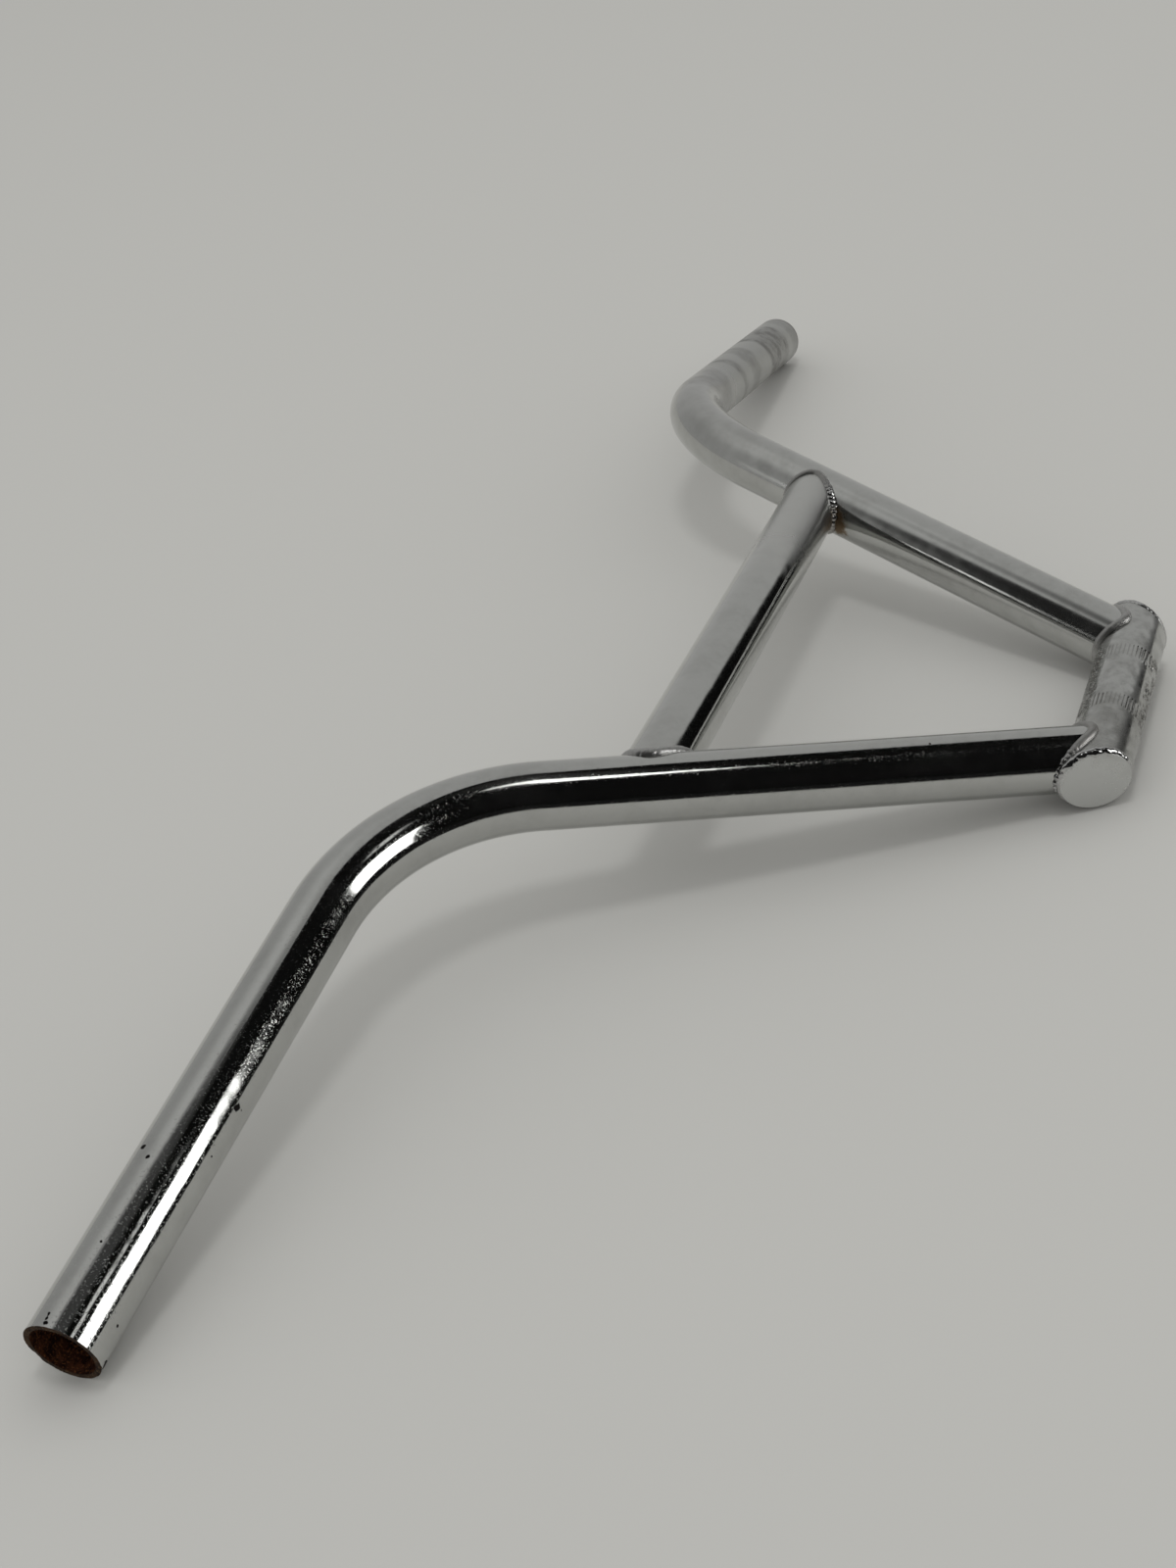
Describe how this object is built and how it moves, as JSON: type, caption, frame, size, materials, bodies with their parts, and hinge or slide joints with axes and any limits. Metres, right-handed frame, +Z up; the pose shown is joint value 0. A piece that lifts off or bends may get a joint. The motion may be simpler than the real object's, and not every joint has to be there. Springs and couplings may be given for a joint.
{
  "type": "bmx handlebar",
  "caption": "High-rise bicycle handlebar: bent bars welded to a straight clamp tube and braced by a crossbar, with swept open-ended grip sections.",
  "frame": {"origin": "middle of the clamp tube, on its axis", "axes": "+X along the clamp tube to the rider's left, +Z up with the bar lying on its back as on a table, +Y along the table from the clamp tube towards the grips"},
  "size_m": [0.7016, 0.2371, 0.0575],
  "materials": {
    "tube": "chrome plated, polished but worn",
    "plate": "chrome plated, satin",
    "weld": "chrome plated over an as-welded bead"
  },
  "bodies": {
    "root": {"clamp_tube": "tube", "crossbar": "tube", "left_bar": "tube", "right_bar": "tube", "left_end_plate": "plate", "right_end_plate": "plate", "left_riser_weld": "weld", "right_riser_weld": "weld", "left_crossbar_weld": "weld", "right_crossbar_weld": "weld", "left_plate_weld": "weld", "right_plate_weld": "weld"}
  },
  "joints": []
}
